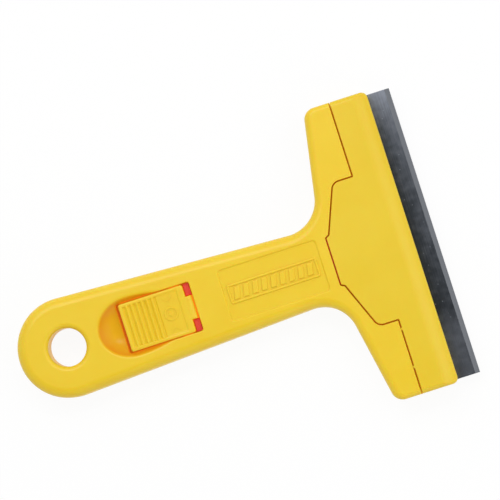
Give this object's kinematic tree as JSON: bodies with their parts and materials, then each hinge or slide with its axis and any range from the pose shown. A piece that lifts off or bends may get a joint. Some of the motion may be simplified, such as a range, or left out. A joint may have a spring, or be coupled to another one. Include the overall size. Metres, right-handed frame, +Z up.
{
  "type": "glass scraper",
  "caption": "Hand scraper with a flat moulded handle, a wide T-shaped head, a steel blade under a hinged clamping plate, and a thumb button that opens the plate.",
  "frame": {"origin": "on the resting plane, under the middle of the overall length and width", "axes": "+X along the handle towards the blade's cutting edge, +Y along the blade, +Z up through the button side"},
  "size_m": [0.1456, 0.102, 0.0152],
  "materials": {
    "yellow_plastic": "moulded, satin",
    "red_plastic": "moulded, satin",
    "blade_steel": "ground carbon steel, lightly oiled",
    "zinc_plate": "bright zinc plate"
  },
  "bodies": {
    "handle": {"upper_shell": "yellow_plastic", "lower_shell": "yellow_plastic", "blade": "blade_steel", "hinge_pin": "zinc_plate", "clamp_spring": "zinc_plate", "tail_screw": "zinc_plate", "wing_screw_left": "zinc_plate", "wing_screw_right": "zinc_plate"},
    "jaw": {"clamp_jaw": "yellow_plastic", "clamp_lever": "red_plastic", "jaw_screw_left": "zinc_plate", "jaw_screw_right": "zinc_plate"},
    "button": {"press_button": "yellow_plastic"}
  },
  "joints": [
    {"name": "jaw_hinge", "type": "hinge", "parent": "handle", "child": "jaw", "pos_m": [0.033, 0, 0.0094], "axis": [0, -1, 0], "range_deg": [0, 3.5], "stiffness_Nm_per_rad": 1.8, "springref_deg": -4.76, "deforming": ["clamp_spring"]},
    {"name": "button_press", "type": "hinge", "parent": "handle", "child": "button", "pos_m": [-0.008, 0, 0.0112], "axis": [0, -1, 0], "range_deg": [0, 9.8]}
  ],
  "couplings": [
    {"joint": "button_press", "follows": "jaw_hinge", "ratio": 2.7826}
  ]
}
